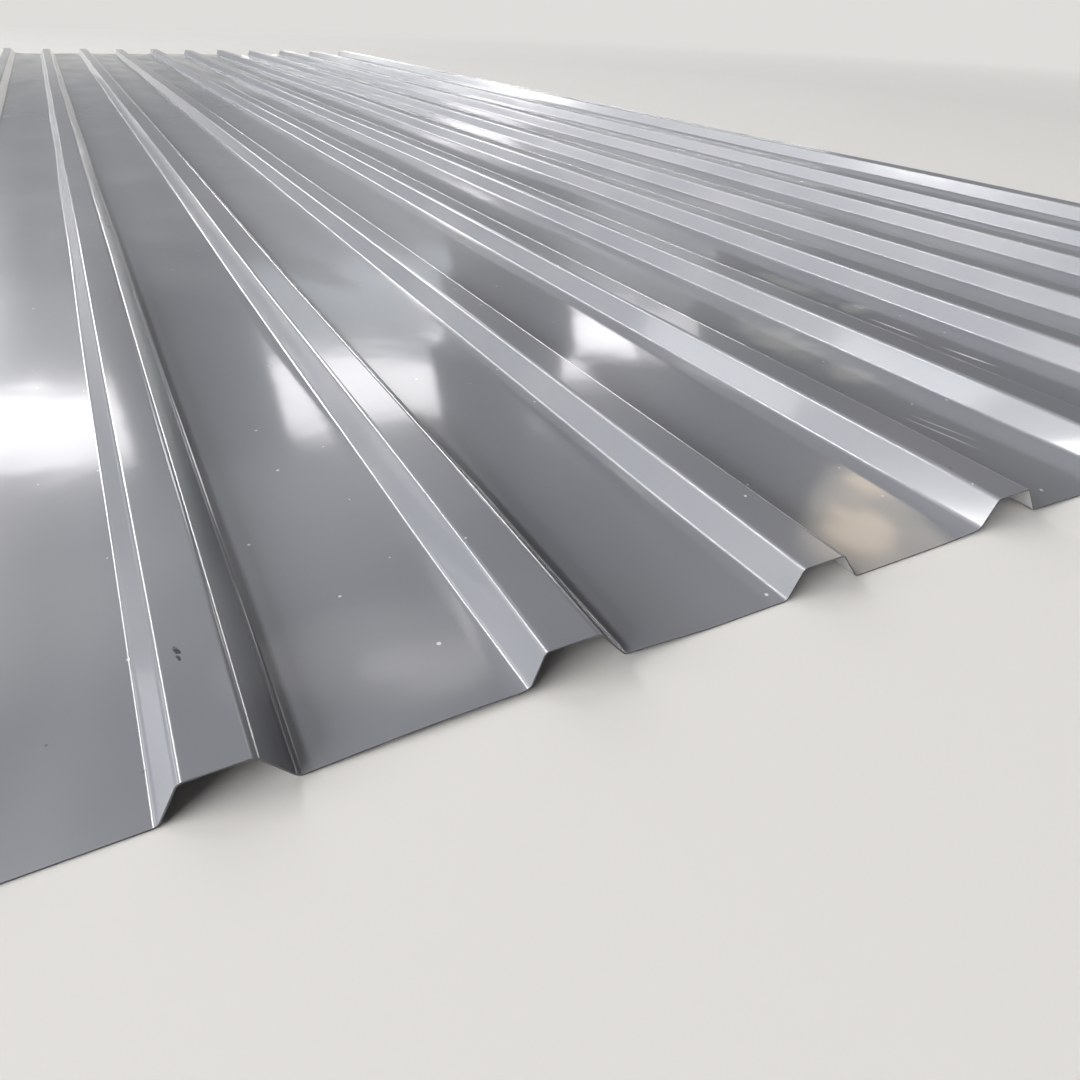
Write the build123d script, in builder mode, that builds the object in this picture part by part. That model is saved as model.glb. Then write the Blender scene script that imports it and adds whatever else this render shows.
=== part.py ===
from build123d import *
import os

# Pre-painted steel roofing and cladding sheet, rolled from one strip into straight trapezoidal ribs.
# +X runs across the ribs, +Y along them and +Z up. The pans lie on Z = 0, and the origin is at
# the middle of the sheet's outline, on that plane. Lengths are in millimetres.

# The strip
sheet_length = 3000.0
thickness = 0.5
inner_bend_radius = 2.5

# The ribs, measured from corner to corner on the painted upper face
rib_count = 11
rib_pitch = 100.0
rib_height = 12.0
crest_width = 18.5
rib_base_width = 34.5

# The two long edges
overlap_leg_clearance = 1.0
underlap_lip_width = 8.0

# Levels and widths that follow from them
pan_level = thickness
crest_level = pan_level + rib_height
web_run = (rib_base_width - crest_width) / 2
outer_bend_radius = inner_bend_radius + thickness
overlap_leg_offset = web_run * overlap_leg_clearance / rib_height
last_rib_foot = (rib_count - 1) * rib_pitch
left_edge = overlap_leg_offset
right_edge = last_rib_foot + rib_base_width + underlap_lip_width
first_rib_foot = -(left_edge + right_edge) / 2


def rib_corners(foot_x):
    """Corners of one rib on the upper face: left foot, both ends of the crest, right foot."""
    crest_x = foot_x + web_run
    return [
        (foot_x, pan_level),
        (crest_x, crest_level),
        (crest_x + crest_width, crest_level),
        (foot_x + rib_base_width, pan_level),
    ]


# Each rib's feet curl up round the inner radius, and its crest turns over the outer one.
rib_bend_radii = [inner_bend_radius, outer_bend_radius, outer_bend_radius, inner_bend_radius]

upper_face_corners = []
bend_radii = []
for rib in range(rib_count):
    upper_face_corners += rib_corners(first_rib_foot + rib * rib_pitch)
    bend_radii += rib_bend_radii

# The first rib laps over the neighbouring sheet: its outer leg has no foot and stops above the pan.
upper_face_corners[0] = (first_rib_foot + overlap_leg_offset, pan_level + overlap_leg_clearance)
bend_radii = bend_radii[1:]

# The last rib is lapped by the next sheet, and its outer foot ends in a narrow flat lip.
upper_face_corners.append((first_rib_foot + right_edge, pan_level))

with BuildPart() as corrugated_sheet:
    with BuildSketch(Plane.XZ) as strip_section:
        with BuildLine() as strip_outline:
            upper_face = FilletPolyline(*upper_face_corners, radius=bend_radii)
            offset(upper_face, amount=thickness, side=Side.RIGHT)
        make_face()
    extrude(amount=sheet_length / 2, both=True)

corrugated_sheet.part.label = "corrugated_sheet"

os.makedirs("parts", exist_ok=True)
export_step(corrugated_sheet.part, "parts/corrugated_sheet.step")
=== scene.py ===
import math

import bpy
import numpy as np
from mathutils import Matrix, Vector


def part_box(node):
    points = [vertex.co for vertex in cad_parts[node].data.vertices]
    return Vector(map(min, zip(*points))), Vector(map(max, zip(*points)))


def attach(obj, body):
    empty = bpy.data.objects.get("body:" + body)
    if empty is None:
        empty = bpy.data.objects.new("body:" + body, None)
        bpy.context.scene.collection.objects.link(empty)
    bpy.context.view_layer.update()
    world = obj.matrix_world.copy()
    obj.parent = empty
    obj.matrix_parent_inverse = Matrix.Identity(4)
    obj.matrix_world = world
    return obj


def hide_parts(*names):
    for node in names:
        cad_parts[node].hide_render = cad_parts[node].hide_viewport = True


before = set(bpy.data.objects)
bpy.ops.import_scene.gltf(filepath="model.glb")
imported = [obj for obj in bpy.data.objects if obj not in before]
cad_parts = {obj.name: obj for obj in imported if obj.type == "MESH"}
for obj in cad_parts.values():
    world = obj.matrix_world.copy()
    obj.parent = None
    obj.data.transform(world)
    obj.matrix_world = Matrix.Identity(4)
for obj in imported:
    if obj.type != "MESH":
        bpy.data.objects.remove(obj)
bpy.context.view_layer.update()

# The rolled section, in metres, as the solid has it. The ribs run along +Y and follow each other
# along +X, and the painted face looks up.
NODE = "corrugated_sheet"
THICKNESS = 0.0005
INNER_BEND = 0.0025
RIB_COUNT = 11
RIB_PITCH = 0.1
RIB_HEIGHT = 0.012
CREST_WIDTH = 0.0185
RIB_BASE = 0.0345
LEG_CLEARANCE = 0.001
LIP_WIDTH = 0.008

WEB_RUN = (RIB_BASE - CREST_WIDTH) / 2
PAN_WIDTH = RIB_PITCH - RIB_BASE
OUTER_BEND = INNER_BEND + THICKNESS
CREST_LEVEL = THICKNESS + RIB_HEIGHT
LEG_OFFSET = WEB_RUN * LEG_CLEARANCE / RIB_HEIGHT

sheet_low, sheet_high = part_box(NODE)
FIRST_FOOT = sheet_low.x - LEG_OFFSET
FRONT_END = sheet_low.y
LENGTH = sheet_high.y - sheet_low.y


def rib_foot(rib):
    """X of a rib's left foot. The first rib is number 0."""
    return FIRST_FOOT + rib * RIB_PITCH


# Camera, matched to the photograph: a 1080 pixel frame, the camera's place measured from the
# front end of the second rib's left foot.
FRAME_PIXELS = 1080.0
FOCAL_PIXELS = 787.8
SENSOR_MM = 36.0
CLIP_START = 0.01
CLIP_END = 200.0
CAMERA_OFFSET = Vector((0.0227, -0.1460, 0.1675))
CAMERA_HEADING = math.radians(29.0)
CAMERA_DIP = math.radians(34.24)
CAMERA_ROLL = math.radians(2.02)


def make_camera():
    """A camera that looks along the ribs and down, heading measured from +Y towards +X."""
    ahead = Vector((
        math.sin(CAMERA_HEADING) * math.cos(CAMERA_DIP),
        math.cos(CAMERA_HEADING) * math.cos(CAMERA_DIP),
        -math.sin(CAMERA_DIP),
    ))
    level_right = Vector((math.cos(CAMERA_HEADING), -math.sin(CAMERA_HEADING), 0.0))
    level_up = level_right.cross(ahead)
    right = level_right * math.cos(CAMERA_ROLL) + level_up * math.sin(CAMERA_ROLL)
    up = level_up * math.cos(CAMERA_ROLL) - level_right * math.sin(CAMERA_ROLL)

    data = bpy.data.cameras.new("photo_camera")
    data.sensor_width = SENSOR_MM
    data.lens = SENSOR_MM * FOCAL_PIXELS / FRAME_PIXELS
    data.clip_start = CLIP_START
    data.clip_end = CLIP_END
    camera = bpy.data.objects.new("photo_camera", data)
    turn = Matrix((right, up, -ahead)).transposed().to_4x4()
    place = Vector((rib_foot(1), FRONT_END, THICKNESS)) + CAMERA_OFFSET
    camera.matrix_world = Matrix.Translation(place) @ turn
    bpy.context.scene.collection.objects.link(camera)
    bpy.context.scene.camera = camera


# How finely the section and the length are divided. Flats longer than the two lengths count as
# pans and as crests, and shorter ones stay undivided.
BEND_STEPS = 4
PAN_STEPS = 10
CREST_STEPS = 3
PAN_FLAT = CREST_WIDTH * 1.2
CREST_FLAT = CREST_WIDTH * 0.85
FIRST_ROW_STEP = 0.004
ROW_GROWTH = 0.022
ROW_GROWTH_FAR = 0.10
LONGEST_ROW_STEP = 0.055


def section_corners():
    """Corners of the painted face from the overlap leg to the lip, each with its bend radius."""
    corners = []
    for rib in range(RIB_COUNT):
        foot = rib_foot(rib)
        crest = foot + WEB_RUN
        corners += [
            (foot, THICKNESS, INNER_BEND),
            (crest, CREST_LEVEL, OUTER_BEND),
            (crest + CREST_WIDTH, CREST_LEVEL, OUTER_BEND),
            (foot + RIB_BASE, THICKNESS, INNER_BEND),
        ]
    corners[0] = (FIRST_FOOT + LEG_OFFSET, THICKNESS + LEG_CLEARANCE, 0.0)
    corners.append((rib_foot(RIB_COUNT - 1) + RIB_BASE + LIP_WIDTH, THICKNESS, 0.0))
    return corners


def flat_shares(length):
    """How a flat between two bends is divided: shares of its length, the last one 1."""
    if length > PAN_FLAT:
        angles = np.linspace(0, math.pi, PAN_STEPS + 1)[1:]
        return (1 - np.cos(angles)) / 2
    if length > CREST_FLAT:
        return np.linspace(0, 1, CREST_STEPS + 1)[1:]
    return np.array([1.0])


def bend(corner, radius, way_in, way_out):
    """Where a bend starts, and the points and tangents round it that follow the start."""
    turn = math.atan2(way_in[0] * way_out[1] - way_in[1] * way_out[0], float(way_in @ way_out))
    side = math.copysign(1.0, turn)
    heading = math.atan2(way_in[1], way_in[0])
    start = corner - way_in * radius * math.tan(abs(turn) / 2)
    centre = start + side * radius * np.array([-way_in[1], way_in[0]])
    points, tangents = [], []
    for step in range(1, BEND_STEPS + 1):
        angle = heading + turn * step / BEND_STEPS
        points.append(centre + side * radius * np.array([math.sin(angle), -math.cos(angle)]))
        tangents.append(np.array([math.cos(angle), math.sin(angle)]))
    return start, points, tangents


def section_columns():
    """Points along the painted face as an (n, 2) array of x and z, and their unit tangents."""
    corners = section_corners()
    places = [np.array((x, z)) for x, z, _ in corners]
    flats = [after - before for before, after in zip(places, places[1:])]
    lengths = [np.linalg.norm(flat) for flat in flats]
    ways = [flat / length for flat, length in zip(flats, lengths)]
    points = [places[0]]
    tangents = [ways[0]]
    for number in range(1, len(corners) - 1):
        radius = corners[number][2]
        way_in, way_out = ways[number - 1], ways[number]
        bend_start, bend_points, bend_tangents = bend(places[number], radius, way_in, way_out)
        shares = flat_shares(lengths[number - 1])
        start = points[-1]
        points += [start + (bend_start - start) * share for share in shares] + bend_points
        tangents += [way_in] * len(shares) + bend_tangents
    points.append(places[-1])
    tangents.append(tangents[-1])
    return np.array(points), np.array(tangents)


def row_places():
    """Y of each row of the mesh, close together at both ends and furthest apart between them."""
    places = [0.0]
    while places[-1] < LENGTH:
        here = places[-1]
        step = FIRST_ROW_STEP + min(ROW_GROWTH * here, ROW_GROWTH_FAR * (LENGTH - here))
        places.append(here + min(step, LONGEST_ROW_STEP))
    return FRONT_END + np.array(places) * LENGTH / places[-1]


# How far the real sheet departs from the straight section, in metres. Strengths, swells and
# shares have no unit, and each pair of waves is the shortest and the longest wave length.
RIB_SEED = 49925
PAN_SEED = 41
RIB_LIFT = 0.0014
LIFT_SWELL = 0.25
LIFT_WAVES = (0.5, 1.4)
RIB_WANDER = 0.00040
WANDER_WAVES = (0.45, 1.1)
RIB_LEAN = 0.0007
LEAN_SWELL = 0.35
LEAN_WAVES = (0.4, 1.2)
CREST_DISH = 0.00003
DISH_WAVES = (0.15, 0.5)
OIL_CAN = 0.00018
OIL_CAN_RISE = 0.8
OIL_CAN_WAVES = (0.14, 0.7)
PAN_TILT = 0.00007
TILT_WAVES = (0.12, 0.5)
PAN_RIPPLE = 0.00004
RIPPLE_WAVES = (0.10, 0.4)
FOOT_CURL = 0.0004
CURL_STRENGTHS = (0.2, 1.0)
CURL_SHARE = 0.07
END_REACH = 0.05
END_FADE = 1.5
END_STRENGTHS = (0.15, 1.15)
END_FOOT_SHIFT = 0.0020
RIGHT_FOOT_SHARE = 0.3
END_LEAN = 0.0006
END_SAG = 0.0018
LEVEL_STRENGTH = 0.45
ROUNDING = 1e-6


def slow_wave(random, y, lengths, terms=4):
    """A smooth random curve along y, about -1 to 1, made of a few sines."""
    total = np.zeros_like(y)
    for _ in range(terms):
        length = random.uniform(*lengths)
        total += np.sin(2 * math.pi * (y / length + random.uniform(0, 1)))
    return total / math.sqrt(terms)


def end_effect(rows):
    """How much of the ends' own shape is felt along the rows: 1 at both ends, soon fading to 0."""
    from_end = np.minimum(rows - rows[0], rows[-1] - rows)
    return np.exp(-(from_end / END_REACH) ** END_FADE)


def rib_moves(rows):
    """For each rib, how it rises, wanders, leans and opens at the sheet's ends, along the rows."""
    random = np.random.default_rng(RIB_SEED)
    moves = []
    for rib, strength in enumerate(random.uniform(*END_STRENGTHS, RIB_COUNT)):
        raised = RIB_LIFT if rib % 2 == 0 else 0.0
        moves.append({
            "lift": raised * (1 + LIFT_SWELL * slow_wave(random, rows, LIFT_WAVES)),
            "wander": RIB_WANDER * slow_wave(random, rows, WANDER_WAVES),
            "lean": RIB_LEAN * (1 + LEAN_SWELL * slow_wave(random, rows, LEAN_WAVES)),
            "strength": strength,
            "flare": strength * end_effect(rows),
            "dish": CREST_DISH * slow_wave(random, rows, DISH_WAVES),
        })
    return moves


def corner_shift(move, left_foot, height):
    """Sideways move of a rib at a height share of 0 to 1, at its left or right side."""
    foot = END_FOOT_SHIFT if left_foot else RIGHT_FOOT_SHARE * END_FOOT_SHIFT
    flare = move["flare"] * (foot * (1 - height) - END_LEAN * height)
    return move["wander"] - move["lean"] * height + flare


def pan_relief(random, u, rows, strength):
    """Height of a pan's own waves: oil canning, twist, ripple and a sag or crown at the ends, where
    u runs from 0 to 1 across the pan. Beside a rib that opens a lot at the sheet's end the pan
    sags, beside the others it rises."""
    can = OIL_CAN * (OIL_CAN_RISE + slow_wave(random, rows, OIL_CAN_WAVES, terms=6))
    tilt = PAN_TILT * slow_wave(random, rows, TILT_WAVES, terms=5)
    ripple = PAN_RIPPLE * slow_wave(random, rows, RIPPLE_WAVES, terms=5)
    crown = END_SAG * (LEVEL_STRENGTH - strength) * end_effect(rows)
    return (
        np.sin(math.pi * u) * (can + crown)
        + np.sin(2 * math.pi * u) * tilt
        + np.sin(3 * math.pi * u) * ripple
    )


def rib_departure(move, u, height):
    """Sideways and upward departure on a rib, where u is 0 at its left foot and 1 at its right."""
    left, right = corner_shift(move, True, height), corner_shift(move, False, height)
    upward = move["lift"] + height * np.sin(math.pi * u) * move["dish"]
    return left + (right - left) * u, upward


def pan_departure(random, move, following, u, height, rows):
    """Sideways and upward departure on the pan between two ribs, where u runs from 0 to 1. Just
    before the following rib's foot the pan dips and curls up again."""
    left, right = corner_shift(move, False, height), corner_shift(following, True, height)
    curl = FOOT_CURL * random.uniform(*CURL_STRENGTHS) * (1 + following["flare"])
    blend = u * u * (3 - 2 * u)
    near_foot = np.clip((u - 1 + CURL_SHARE) / CURL_SHARE, 0, 1) ** 2
    rise = move["lift"] + (following["lift"] - curl) * blend - move["lift"] * blend
    relief = pan_relief(random, u, rows, move["strength"])
    return left + (right - left) * u, rise + curl * near_foot + relief


def departures(points, rows):
    """Sideways and upward departures of the painted face's points, as (columns, rows) arrays."""
    random = np.random.default_rng(PAN_SEED)
    moves = rib_moves(rows)
    sideways = np.zeros((len(points), len(rows)))
    upward = np.zeros_like(sideways)
    x = points[:, 0]
    height = np.clip((points[:, 1] - THICKNESS) / RIB_HEIGHT, 0, 1)[:, None]
    for rib, move in enumerate(moves):
        last = rib == RIB_COUNT - 1
        across = (x - rib_foot(rib)) / RIB_BASE
        here = (across >= -ROUNDING) & ((across <= 1 + ROUNDING) | last)
        u = np.clip(across[here], 0, 1)[:, None]
        sideways[here], upward[here] = rib_departure(move, u, height[here])
        if last:
            break
        across = (x - rib_foot(rib) - RIB_BASE) / PAN_WIDTH
        here = (across > 0) & (across < 1)
        u = across[here][:, None]
        following = moves[rib + 1]
        sideways[here], upward[here] = pan_departure(random, move, following, u, height[here], rows)
    return sideways, np.maximum(upward, 0.0)


# The sheet's material slots
PAINT_SLOT = 0
BACKING_SLOT = 1
STEEL_SLOT = 2


def painted_face():
    """Points and unit normals of the painted face, both as (columns, rows, 3) arrays."""
    points, tangents = section_columns()
    rows = row_places()
    sideways, upward = departures(points, rows)
    steps = np.linalg.norm(np.diff(points, axis=0), axis=1)
    along_section = np.concatenate([[0.0], np.cumsum(steps)])
    across = np.stack([
        tangents[:, :1] + np.gradient(sideways, along_section, axis=0),
        np.zeros_like(sideways),
        tangents[:, 1:] + np.gradient(upward, along_section, axis=0),
    ], axis=-1)
    lengthways = np.stack([
        np.gradient(sideways, rows, axis=1),
        np.ones_like(sideways),
        np.gradient(upward, rows, axis=1),
    ], axis=-1)
    normals = np.cross(across, lengthways)
    normals /= np.linalg.norm(normals, axis=-1, keepdims=True)
    face = np.stack([
        points[:, :1] + sideways,
        np.broadcast_to(rows, sideways.shape),
        points[:, 1:] + upward,
    ], axis=-1)
    return face, normals


def grid_faces(index):
    """Quads over a grid of vertices, given as a (columns, rows) array of their numbers."""
    corners = [index[:-1, :-1], index[1:, :-1], index[1:, 1:], index[:-1, 1:]]
    return np.stack(corners, axis=-1).reshape(-1, 4)


def strip_faces(upper, lower):
    """Quads between a run of upper vertices and the lower ones under them."""
    return np.stack([upper[:-1], lower[:-1], lower[1:], upper[1:]], axis=-1)


def sheet_faces(columns, rows):
    """All quads of the closed sheet and the material slot of each: both faces, then the sheared
    edges at the front, far end, left and right."""
    upper = np.arange(columns * rows).reshape(columns, rows)
    lower = upper + columns * rows
    parts = [
        (grid_faces(upper), PAINT_SLOT),
        (grid_faces(lower)[:, ::-1], BACKING_SLOT),
        (strip_faces(upper[:, 0], lower[:, 0]), STEEL_SLOT),
        (strip_faces(upper[::-1, -1], lower[::-1, -1]), STEEL_SLOT),
        (strip_faces(upper[0, ::-1], lower[0, ::-1]), STEEL_SLOT),
        (strip_faces(upper[-1], lower[-1]), STEEL_SLOT),
    ]
    faces = np.concatenate([quads for quads, _ in parts])
    slots = np.concatenate([np.full(len(quads), slot) for quads, slot in parts])
    return faces, slots


def corner_normals(mesh, faces, slots, normals):
    """A normal for each corner of each quad: smooth on both faces, flat on the sheared edges."""
    smooth = np.concatenate([normals.reshape(-1, 3), -normals.reshape(-1, 3)])
    corners = smooth[faces.reshape(-1)]
    flat = np.array([polygon.normal for polygon in mesh.polygons])
    sheared = np.repeat(slots == STEEL_SLOT, 4)
    corners[sheared] = np.repeat(flat, 4, axis=0)[sheared]
    return corners


def make_sheet(paint, backing, shaded_steel):
    """The sheet as one closed mesh: painted face, underside and sheared edges."""
    upper, normals = painted_face()
    lower = upper - normals * THICKNESS
    vertices = np.concatenate([upper.reshape(-1, 3), lower.reshape(-1, 3)])
    columns, rows = upper.shape[:2]
    faces, slots = sheet_faces(columns, rows)

    mesh = bpy.data.meshes.new("painted_sheet")
    mesh.from_pydata(vertices.tolist(), [], faces.tolist())
    for material in (paint, backing, shaded_steel):
        mesh.materials.append(material)
    mesh.polygons.foreach_set("material_index", slots.astype(np.int32))
    mesh.polygons.foreach_set("use_smooth", np.ones(len(faces), dtype=bool))
    mesh.update()
    mesh.normals_split_custom_set(corner_normals(mesh, faces, slots, normals).tolist())

    sheet = bpy.data.objects.new("painted_sheet", mesh)
    bpy.context.scene.collection.objects.link(sheet)
    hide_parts(NODE)
    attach(sheet, "root")


# Numbers of the Mix node's colour sockets. Its sockets for other kinds have the same names.
MIX_FIRST = 6
MIX_SECOND = 7
MIX_RESULT = 2


class Nodes:
    """A short way to write a node tree. What a method makes, it gives back as an output socket."""

    def __init__(self, tree):
        self.tree = tree
        self.tree.nodes.clear()

    def add(self, kind, **settings):
        """A new node with its settings, given back whole."""
        node = self.tree.nodes.new(kind)
        for name, value in settings.items():
            setattr(node, name, value)
        return node

    def link(self, source, target):
        """Leads one socket to another."""
        self.tree.links.new(source, target)

    def noise(self, where, scale, detail=2.0, roughness=0.5):
        """Soft noise from 0 to 1, its scale in features per metre."""
        node = self.add("ShaderNodeTexNoise")
        self.link(where, node.inputs["Vector"])
        node.inputs["Scale"].default_value = scale
        node.inputs["Detail"].default_value = detail
        node.inputs["Roughness"].default_value = roughness
        return node.outputs["Fac"]

    def stretch(self, where, scale):
        """Places scaled by a factor on each axis."""
        node = self.add("ShaderNodeMapping")
        self.link(where, node.inputs["Vector"])
        node.inputs["Scale"].default_value = scale
        return node.outputs["Vector"]

    def span(self, value, low, high, to_low, to_high):
        """A value taken from one range to another, and held at the ends."""
        node = self.add("ShaderNodeMapRange", clamp=True)
        self.link(value, node.inputs["Value"])
        limits = {"From Min": low, "From Max": high, "To Min": to_low, "To Max": to_high}
        for name, number in limits.items():
            node.inputs[name].default_value = number
        return node.outputs["Result"]

    def reach(self, where, rib, across, along, half_width, half_length, turn=0.0):
        """Distance from a place on the painted face, 1 on the rim of an ellipse laid about it. The
        place is given across from a rib's left foot and along from the front end."""
        node = self.add("ShaderNodeMapping", vector_type="TEXTURE")
        self.link(where, node.inputs["Vector"])
        node.inputs["Location"].default_value = (rib_foot(rib) + across, FRONT_END + along, 0.0)
        node.inputs["Rotation"].default_value = (0.0, 0.0, turn)
        node.inputs["Scale"].default_value = (half_width, half_length, 1.0)
        return self.length(node.outputs["Vector"])

    def length(self, vector):
        """Length of a vector."""
        node = self.add("ShaderNodeVectorMath", operation="LENGTH")
        self.link(vector, node.inputs[0])
        return node.outputs["Value"]

    def math(self, operation, a, b):
        """Arithmetic on two values, each a socket or a number."""
        node = self.add("ShaderNodeMath", operation=operation)
        for socket, value in zip(node.inputs, (a, b)):
            if isinstance(value, (int, float)):
                socket.default_value = value
            else:
                self.link(value, socket)
        return node.outputs[0]

    def joined(self, masks):
        """The strongest of several masks."""
        strongest = masks[0]
        for mask in masks[1:]:
            strongest = self.math("MAXIMUM", strongest, mask)
        return strongest

    def blend(self, amount, first, second):
        """From one colour at an amount of 0 to another at 1, each a socket or red, green, blue."""
        node = self.add("ShaderNodeMix", data_type="RGBA")
        self.link(amount, node.inputs["Factor"])
        for number, value in ((MIX_FIRST, first), (MIX_SECOND, second)):
            if isinstance(value, tuple):
                node.inputs[number].default_value = (*value, 1.0)
            else:
                self.link(value, node.inputs[number])
        return node.outputs[MIX_RESULT]

    def bump(self, height, distance, below=None):
        """A normal for a height of 0 to 1 that stands for a distance, on another normal."""
        node = self.add("ShaderNodeBump")
        self.link(height, node.inputs["Height"])
        node.inputs["Strength"].default_value = 1.0
        node.inputs["Distance"].default_value = distance
        if below is not None:
            self.link(below, node.inputs["Normal"])
        return node.outputs["Normal"]

    def mix_shaders(self, amount, first, second):
        """From one shader at an amount of 0 to another at 1."""
        node = self.add("ShaderNodeMixShader")
        self.link(amount, node.inputs["Fac"])
        self.link(first, node.inputs[1])
        self.link(second, node.inputs[2])
        return node.outputs["Shader"]


def new_material(name):
    """A material with its nodes, its shader and its places on the object, in metres."""
    material = bpy.data.materials.new(name)
    material.use_nodes = True
    nodes = Nodes(material.node_tree)
    shader = nodes.add("ShaderNodeBsdfPrincipled")
    output = nodes.add("ShaderNodeOutputMaterial")
    nodes.link(shader.outputs["BSDF"], output.inputs["Surface"])
    where = nodes.add("ShaderNodeTexCoord").outputs["Object"]
    return material, nodes, shader, where


# Colours of the paint and of what lies on it, of the backing coat and of bare steel. The scuff's and
# the steel's colours are painted darker, as painted shade.
PAINT_DARK = (0.132, 0.138, 0.156)
PAINT_LIGHT = (0.146, 0.150, 0.165)
DUST = (0.42, 0.40, 0.37)
SMUDGE = (0.42, 0.43, 0.38)
PALE_SPECK = (0.62, 0.61, 0.60)
DARK_SPECK = (0.03, 0.03, 0.03)
SCRATCH = (0.62, 0.63, 0.64)
# The scuff's near-black colour is partly a real mark and partly painted shade inside the chip
SCUFF_AND_SHADE = (0.012, 0.012, 0.014)
BACKING_DARK = (0.36, 0.37, 0.38)
BACKING_LIGHT = (0.46, 0.46, 0.46)
# The steel's greys are painted dark, standing in for the shade along the sheared edge
SHADED_STEEL_DARK = (0.10, 0.10, 0.105)
SHADED_STEEL_LIGHT = (0.22, 0.22, 0.23)

# How much each of them covers the paint
DUST_COVER = 0.07
SMUDGE_COVER = 0.30
PALE_SPECK_COVER = 0.75
DARK_SPECK_COVER = 0.8
SCRATCH_COVER = 0.85
SCUFF_AND_SHADE_COVER = 0.95

# Grain, in features per metre
SHADE_SCALE = 4.0
DUST_SCALE = 9.0
SPECK_SCALE = 45.0
SMEAR_SCALES = (9.0, 2.5, 9.0)
SMUDGE_SCALE = 60.0
SCUFF_SCALE = 900.0
WAVE_SCALE = 38.0
PEEL_SCALE = 900.0
MOTTLE_SCALE = 25.0
BACKING_SCALE = 500.0
SHEAR_SCALES = (2500.0, 2500.0, 400.0)

# Specks sit in random cells: their radius in cells, their soft rim, and which cells have one
SPECK_RADII = (0.018, 0.042)
SPECK_RIM = 0.012
PALE_SPECK_FROM = 0.87
DARK_SPECK_BELOW = 0.012

# What part of each noise counts, and how far it moves the edge of a smudge or scuff
NOISE_MIDDLE = (0.3, 0.7)
DUST_NOISE = (0.45, 0.80)
SMEAR_NOISE = (0.3, 0.75)
SMUDGE_UNEVEN = 0.25
SCUFF_RAGGED = 0.4

# Where each mark starts to fade and is gone, as shares of its reach from middle to rim
SCRATCH_FADE = (0.3, 1.0)
SMUDGE_FADE = (0.4, 1.1)
SCUFF_FADE = (0.85, 1.1)

# Gloss of the paint, with what dust and marks add to its roughness, of its clear coat, of the
# backing coat and of bare steel
PAINT_ROUGHNESS = (0.29, 0.35)
DUST_ROUGHNESS = 0.08
MARK_ROUGHNESS = 0.4
PAINT_IOR = 1.6
COAT_ROUGHNESS = 0.09
COAT_IOR = 1.5
BACKING_ROUGHNESS = (0.42, 0.58)
STEEL_ROUGHNESS = (0.35, 0.55)

# Heights of what is too fine for the mesh, in metres
WAVE_HEIGHT = 0.00008
PEEL_HEIGHT = 0.000005
DENT_HEIGHT = 0.0008
BACKING_HEIGHT = 0.00001


def scratch(nodes, where, rib, start, end, half_width):
    """A straight fine scratch, strongest half way along, between two places beside a rib. Each
    place is given across from the rib's left foot and along from the front end."""
    middle = (Vector(start) + Vector(end)) / 2
    run = Vector(end) - Vector(start)
    turn = math.atan2(-run.x, run.y)
    reach = nodes.reach(where, rib, middle.x, middle.y, half_width, run.length / 2, turn)
    return nodes.span(reach, *SCRATCH_FADE, 1.0, 0.0)


def scratches(nodes, where):
    """The fine scratches seen on the front part of the sheet, joined into one mask."""
    return nodes.joined([
        scratch(nodes, where, 4, (0.056, 0.090), (0.064, 0.041), 0.0004),
        scratch(nodes, where, 4, (0.062, 0.090), (0.071, 0.049), 0.0004),
        scratch(nodes, where, 5, (0.063, 0.210), (0.064, 0.162), 0.0011),
        scratch(nodes, where, 5, (0.063, 0.151), (0.066, 0.110), 0.0012),
        scratch(nodes, where, 6, (0.063, 0.304), (0.060, 0.246), 0.0012),
        scratch(nodes, where, 6, (0.061, 0.218), (0.060, 0.180), 0.0014),
    ])


def smudges(nodes, where):
    """Soft pale smudges with uneven edges, on the pans beyond the fifth and the sixth rib."""
    places = [
        nodes.reach(where, 4, 0.078, 0.200, 0.019, 0.040),
        nodes.reach(where, 4, 0.077, 0.140, 0.014, 0.020),
        nodes.reach(where, 5, 0.071, 0.226, 0.012, 0.011),
        nodes.reach(where, 5, 0.066, 0.285, 0.010, 0.040),
    ]
    noise = nodes.noise(where, SMUDGE_SCALE, detail=1.0)
    uneven = nodes.span(noise, *NOISE_MIDDLE, -SMUDGE_UNEVEN, SMUDGE_UNEVEN)
    reaches = [nodes.math("ADD", place, uneven) for place in places]
    return nodes.joined([nodes.span(reach, *SMUDGE_FADE, 1.0, 0.0) for reach in reaches])


def scuff_and_shade(nodes, where):
    """The dark scuff on the second rib's crest, with a ragged edge. It is painted near black, so it
    also holds painted shade standing in for the shadow inside the chip.
    """
    noise = nodes.noise(where, SCUFF_SCALE, detail=3.0)
    ragged = nodes.span(noise, *NOISE_MIDDLE, -SCUFF_RAGGED, SCUFF_RAGGED)
    heel = nodes.reach(where, 1, 0.0135, 0.0488, 0.0008, 0.0018, turn=0.3)
    tail = nodes.reach(where, 1, 0.0136, 0.0452, 0.0004, 0.0016, turn=0.2)
    reach = nodes.math("ADD", nodes.math("MINIMUM", heel, tail), ragged)
    return nodes.span(reach, *SCUFF_FADE, 1.0, 0.0)


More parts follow.
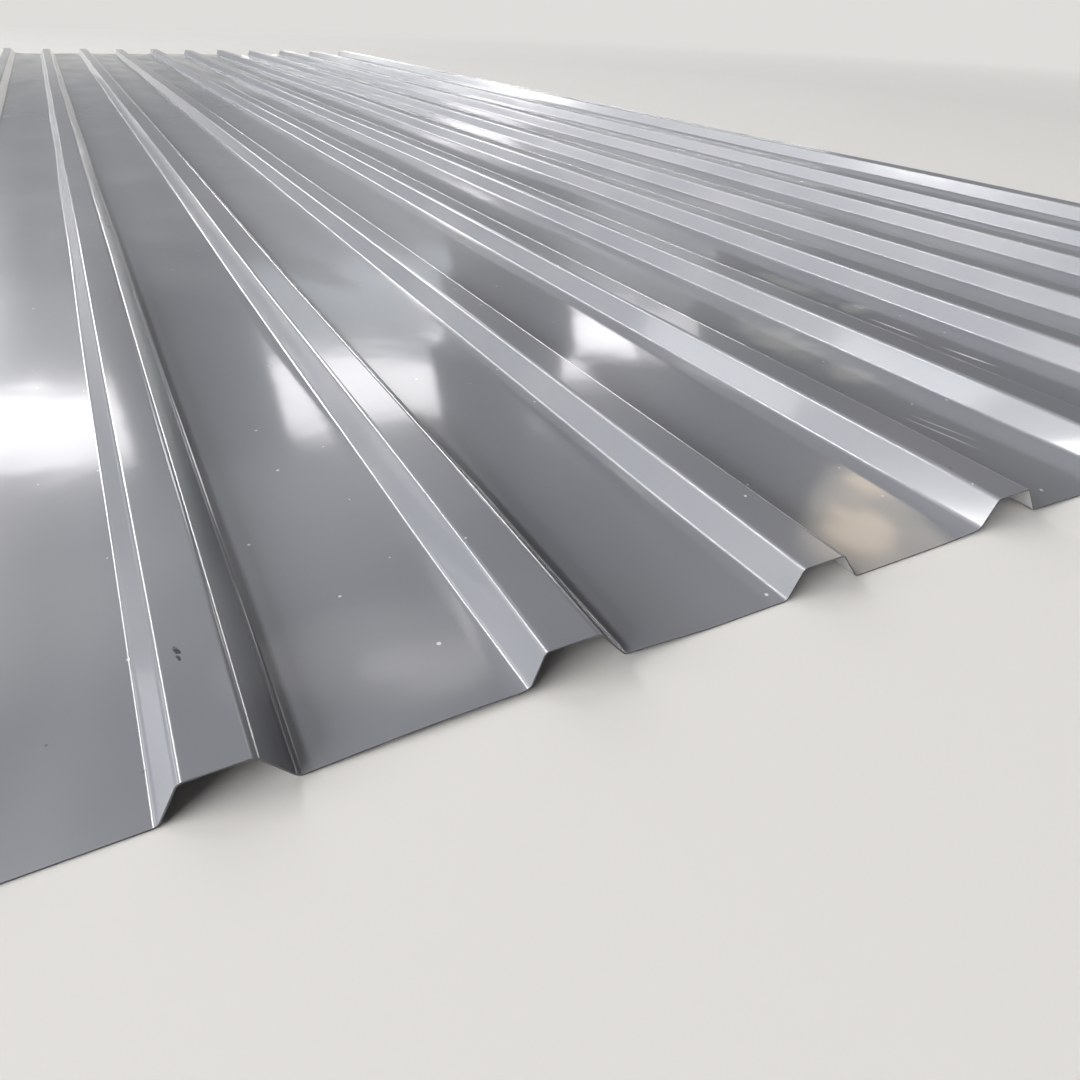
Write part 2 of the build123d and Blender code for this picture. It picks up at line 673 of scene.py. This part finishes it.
def specks(nodes, where):
    """Masks of the pale specks strewn over the paint and of the few dark ones."""
    cells = nodes.add("ShaderNodeTexVoronoi", voronoi_dimensions="2D")
    nodes.link(where, cells.inputs["Vector"])
    cells.inputs["Scale"].default_value = SPECK_SCALE
    chance = nodes.add("ShaderNodeSeparateColor")
    nodes.link(cells.outputs["Color"], chance.inputs["Color"])
    radius = nodes.span(chance.outputs["Green"], 0.0, 1.0, *SPECK_RADII)
    edge = nodes.math("SUBTRACT", radius, cells.outputs["Distance"])
    dot = nodes.span(edge, 0.0, SPECK_RIM, 0.0, 1.0)
    is_pale = nodes.math("GREATER_THAN", chance.outputs["Red"], PALE_SPECK_FROM)
    is_dark = nodes.math("LESS_THAN", chance.outputs["Red"], DARK_SPECK_BELOW)
    return nodes.math("MULTIPLY", dot, is_pale), nodes.math("MULTIPLY", dot, is_dark)


def paint_normal(nodes, where):
    """The coat's gentle waves and orange peel, and a shallow dent pushed up from below on the pan
    beyond the sixth rib."""
    waves = nodes.bump(nodes.noise(where, WAVE_SCALE, detail=1.0), WAVE_HEIGHT)
    peel = nodes.bump(nodes.noise(where, PEEL_SCALE, detail=1.0), PEEL_HEIGHT, waves)
    dent = nodes.span(nodes.reach(where, 5, 0.075, 0.226, 0.0045, 0.0060), 0.0, 1.0, 1.0, 0.0)
    return nodes.bump(nodes.math("MULTIPLY", dent, dent), DENT_HEIGHT, peel)


def paint_material():
    """Satin grey coil coating under a glossy clear coat, with thin dust, smudges, specks,
    scratches and a scuff with painted shade laid over it in that order."""
    material, nodes, shader, where = new_material("grey_coil_paint")
    dust = nodes.span(nodes.noise(where, DUST_SCALE, detail=1.0), *DUST_NOISE, 0.0, 1.0)
    pale, dark = specks(nodes, where)
    scored = scratches(nodes, where)
    layers = [
        (dust, DUST_COVER, DUST),
        (smudges(nodes, where), SMUDGE_COVER, SMUDGE),
        (pale, PALE_SPECK_COVER, PALE_SPECK),
        (dark, DARK_SPECK_COVER, DARK_SPECK),
        (scored, SCRATCH_COVER, SCRATCH),
        (scuff_and_shade(nodes, where), SCUFF_AND_SHADE_COVER, SCUFF_AND_SHADE),
    ]
    shade = nodes.noise(where, SHADE_SCALE, detail=1.0)
    colour = nodes.blend(shade, PAINT_DARK, PAINT_LIGHT)
    for mask, cover, over in layers:
        colour = nodes.blend(nodes.math("MULTIPLY", mask, cover), colour, over)
    nodes.link(colour, shader.inputs["Base Color"])

    smear = nodes.noise(nodes.stretch(where, SMEAR_SCALES), 1.0, detail=1.0)
    rough = nodes.span(smear, *SMEAR_NOISE, *PAINT_ROUGHNESS)
    rough = nodes.math("ADD", rough, nodes.math("MULTIPLY", dust, DUST_ROUGHNESS))
    marked = nodes.math("MAXIMUM", pale, scored)
    rough = nodes.math("ADD", rough, nodes.math("MULTIPLY", marked, MARK_ROUGHNESS))
    nodes.link(rough, shader.inputs["Roughness"])

    normal = paint_normal(nodes, where)
    nodes.link(normal, shader.inputs["Normal"])
    nodes.link(normal, shader.inputs["Coat Normal"])
    shader.inputs["IOR"].default_value = PAINT_IOR
    shader.inputs["Coat Weight"].default_value = 1.0
    shader.inputs["Coat Roughness"].default_value = COAT_ROUGHNESS
    shader.inputs["Coat IOR"].default_value = COAT_IOR
    return material


def backing_material():
    """Thin pale backing coat on the underside, matt and slightly mottled."""
    material, nodes, shader, where = new_material("backing_coat")
    mottle = nodes.noise(where, MOTTLE_SCALE, detail=5.0, roughness=0.6)
    colour = nodes.blend(mottle, BACKING_DARK, BACKING_LIGHT)
    rough = nodes.span(mottle, *NOISE_MIDDLE, *BACKING_ROUGHNESS)
    nodes.link(colour, shader.inputs["Base Color"])
    nodes.link(rough, shader.inputs["Roughness"])
    normal = nodes.bump(nodes.noise(where, BACKING_SCALE), BACKING_HEIGHT)
    nodes.link(normal, shader.inputs["Normal"])
    return material


def shaded_steel_material():
    """Sheared edge: bare galvanised steel, drawn down by the blade. Its grey is painted much darker
    than bare steel, as painted shade along the edge.
    """
    material, nodes, shader, where = new_material("sheared_steel_shaded")
    grain = nodes.noise(nodes.stretch(where, SHEAR_SCALES), 1.0, detail=2.0)
    colour = nodes.blend(grain, SHADED_STEEL_DARK, SHADED_STEEL_LIGHT)
    rough = nodes.span(grain, *NOISE_MIDDLE, *STEEL_ROUGHNESS)
    nodes.link(colour, shader.inputs["Base Color"])
    nodes.link(rough, shader.inputs["Roughness"])
    shader.inputs["Metallic"].default_value = 1.0
    return material


# The studio: a wide pale floor that fades into the backdrop's colour between two distances
FLOOR_SIZE = 60.0
FLOOR_DROP = 0.0002
FLOOR_DARK = (0.475, 0.466, 0.456)
FLOOR_LIGHT = (0.495, 0.486, 0.476)
FLOOR_SCALE = 3.0
FLOOR_ROUGHNESS = 0.9
FADE_START = 1.6
FADE_END = 3.6
BACKDROP = (0.74, 0.729, 0.710)


def make_floor():
    """A wide plain floor that carries the sheet's shadow and fades into the pale backdrop."""
    half = FLOOR_SIZE / 2
    corners = [(-half, -half), (half, -half), (half, half), (-half, half)]
    mesh = bpy.data.meshes.new("floor")
    mesh.from_pydata([(x, y, -FLOOR_DROP) for x, y in corners], [], [(0, 1, 2, 3)])
    floor = bpy.data.objects.new("floor", mesh)
    bpy.context.scene.collection.objects.link(floor)

    material, nodes, shader, where = new_material("pale_floor")
    mottle = nodes.noise(where, FLOOR_SCALE, detail=5.0)
    nodes.link(nodes.blend(mottle, FLOOR_DARK, FLOOR_LIGHT), shader.inputs["Base Color"])
    shader.inputs["Roughness"].default_value = FLOOR_ROUGHNESS
    far = nodes.span(nodes.length(where), FADE_START, FADE_END, 0.0, 1.0)
    backdrop = nodes.add("ShaderNodeEmission")
    backdrop.inputs["Color"].default_value = (*BACKDROP, 1.0)
    fade = nodes.mix_shaders(far, shader.outputs["BSDF"], backdrop.outputs["Emission"])
    output = next(node for node in nodes.tree.nodes if node.type == "OUTPUT_MATERIAL")
    nodes.link(fade, output.inputs["Surface"])
    mesh.materials.append(material)


# The lights stand round a focus on the sheet: a key low on the left, long soft lights beside the
# ribs, and a row of windows on a far wall ahead, whose places are shares of the wall's distance.
STUDIO_DISTANCE = 20.0
FOCUS_FROM_END = 0.24
FOCUS = Vector((rib_foot(2), FRONT_END + FOCUS_FROM_END, 0.0))
WINDOW_SILL = 0.384
WINDOW_HEAD = 0.488
GLOW_SILL = 0.27

WHITE = (1.0, 1.0, 1.0)
KEY_WHITE = (1.0, 0.99, 0.98)
SIDE_BLUE = (0.95, 0.98, 1.0)
PALE_BLUE = (0.93, 0.97, 1.0)
CREAM = (1.0, 0.98, 0.92)
WARM = (1.0, 0.74, 0.48)
WARM_RIM = (1.0, 0.91, 0.74)
WINDOW_WHITE = (1.0, 0.98, 1.0)
GLOW_BLUE = (0.86, 0.93, 1.0)


def area_light(name, place, facing, width, height, radiance, colour, rounded=False):
    """A flat soft light of a given radiance, unseen by the camera."""
    data = bpy.data.lights.new(name, "AREA")
    data.shape = "ELLIPSE" if rounded else "RECTANGLE"
    data.size = width
    data.size_y = height
    data.energy = radiance * math.pi * width * height
    data.color = colour
    light = bpy.data.objects.new(name, data)
    light.location = place
    light.rotation_euler = facing.to_track_quat("-Z", "Y").to_euler()
    light.visible_camera = False
    bpy.context.scene.collection.objects.link(light)


def seen_size(angle):
    """Size of a light that spans an angle in degrees as seen from the focus."""
    return 2 * STUDIO_DISTANCE * math.tan(math.radians(angle) / 2)


def soft_light(name, heading, rise, width, height, radiance, colour):
    """A rounded soft light seen from the focus at a heading and rise, all angles in degrees."""
    turn, lift = math.radians(heading), math.radians(rise)
    level = math.cos(lift)
    away = Vector((math.sin(turn) * level, math.cos(turn) * level, math.sin(lift)))
    place = FOCUS + away * STUDIO_DISTANCE
    size = seen_size(width), seen_size(height)
    area_light(name, place, -away, *size, radiance, colour, rounded=True)


def rib_light(name, roll, width, near, far, radiance, colour):
    """A long light that runs parallel to the ribs. Its roll is measured from overhead towards +X,
    and it reaches from one angle along the ribs to another, all in degrees."""
    tilt = math.radians(roll)
    away = Vector((math.sin(tilt), 0, math.cos(tilt)))
    start, end = (STUDIO_DISTANCE * math.tan(math.radians(angle)) for angle in (near, far))
    place = FOCUS + away * STUDIO_DISTANCE + Vector((0, (start + end) / 2, 0))
    area_light(name, place, -away, end - start, seen_size(width), radiance, colour)


def wall_light(name, left, right, sill, head, radiance, colour):
    """A window on the wall ahead, its four edges as shares of the wall's distance."""
    place = FOCUS + STUDIO_DISTANCE * Vector(((left + right) / 2, 1.0, (sill + head) / 2))
    size = STUDIO_DISTANCE * (right - left), STUDIO_DISTANCE * (head - sill)
    area_light(name, place, Vector((0, -1, 0)), *size, radiance, colour)


def window(name, left, right, radiance, glow):
    """One bright window and the paler wall below its sill."""
    wall_light(name, left, right, WINDOW_SILL, WINDOW_HEAD, radiance, WINDOW_WHITE)
    wall_light(f"{name}_glow", left, right, GLOW_SILL, WINDOW_SILL, glow, GLOW_BLUE)


def make_lights():
    """All lights but the world's. Each is placed by where the sheet mirrors it."""
    rib_light("key_high", roll=-47.5, width=4.5, near=-35, far=20, radiance=39, colour=KEY_WHITE)
    rib_light("key_low", roll=-67, width=20, near=-40, far=24, radiance=14, colour=KEY_WHITE)
    rib_light("edge_left", roll=-29, width=4.2, near=30, far=78, radiance=24, colour=WHITE)
    rib_light("edge_far", roll=-29, width=4, near=28, far=42, radiance=25, colour=WHITE)
    rib_light("edge_right", roll=86, width=4, near=43, far=80, radiance=14, colour=WHITE)
    rib_light("side_near", roll=-50, width=6, near=28, far=38, radiance=5, colour=SIDE_BLUE)
    rib_light("side_far", roll=-57, width=8, near=38, far=50, radiance=4, colour=SIDE_BLUE)
    rib_light("haze", roll=15, width=44, near=52, far=63, radiance=0.25, colour=PALE_BLUE)
    soft_light("overhead", heading=17, rise=43.5, width=13, height=3, radiance=1.2, colour=CREAM)
    soft_light("overhead_rim", heading=14, rise=42.5, width=22, height=7, radiance=0.5, colour=CREAM)
    soft_light("warm", heading=55.6, rise=30.3, width=5, height=2.2, radiance=2.4, colour=WARM)
    soft_light("warm_rim", heading=56.8, rise=31, width=9.5, height=5, radiance=1.4, colour=WARM_RIM)
    window("window_left", left=-0.283, right=-0.033, radiance=5.2, glow=0.3)
    window("window_middle", left=0.143, right=0.393, radiance=4.6, glow=0.75)
    window("window_right", left=0.590, right=0.715, radiance=4.6, glow=0.2)
    window("window_screened", left=0.715, right=0.850, radiance=1.8, glow=0.2)


# The world, as the sheet mirrors it: backdrop at the horizon, then a wall, then the ceiling. Each
# changes into the next between two rises, which are heights at a distance of 1.
WALL = (0.26, 0.27, 0.28)
CEILING = (0.045, 0.047, 0.049)
WALL_RISES = (0.03, 0.09)
CEILING_RISES = (0.20, 0.31)
WORLD_LEVEL = 0.04


def make_world():
    """Dim even light for the sheet. The camera sees a plain pale backdrop all round, and the
    sheet's gloss sees it at the horizon, below a dimmer wall and ceiling."""
    world = bpy.data.worlds.new("studio")
    world.use_nodes = True
    nodes = Nodes(world.node_tree)
    lit = nodes.add("ShaderNodeBackground")
    lit.inputs["Color"].default_value = (*PALE_BLUE, 1.0)
    lit.inputs["Strength"].default_value = WORLD_LEVEL

    rise = nodes.add("ShaderNodeSeparateXYZ")
    nodes.link(nodes.add("ShaderNodeTexCoord").outputs["Generated"], rise.inputs["Vector"])
    wall = nodes.span(rise.outputs["Z"], *WALL_RISES, 0.0, 1.0)
    ceiling = nodes.span(rise.outputs["Z"], *CEILING_RISES, 0.0, 1.0)
    mirrored = nodes.blend(ceiling, nodes.blend(wall, BACKDROP, WALL), CEILING)
    ray = nodes.add("ShaderNodeLightPath")
    seen = nodes.add("ShaderNodeBackground")
    nodes.link(nodes.blend(ray.outputs["Is Camera Ray"], mirrored, BACKDROP), seen.inputs["Color"])
    seen.inputs["Strength"].default_value = 1.0

    kinds = ("Is Camera Ray", "Is Glossy Ray", "Is Transmission Ray")
    direct = nodes.joined([ray.outputs[kind] for kind in kinds])
    surface = nodes.mix_shaders(direct, lit.outputs["Background"], seen.outputs["Background"])
    nodes.link(surface, nodes.add("ShaderNodeOutputWorld").inputs["Surface"])
    bpy.context.scene.world = world


make_camera()
make_sheet(paint_material(), backing_material(), shaded_steel_material())
make_floor()
make_lights()
make_world()
bpy.context.scene.view_settings.view_transform = "Standard"
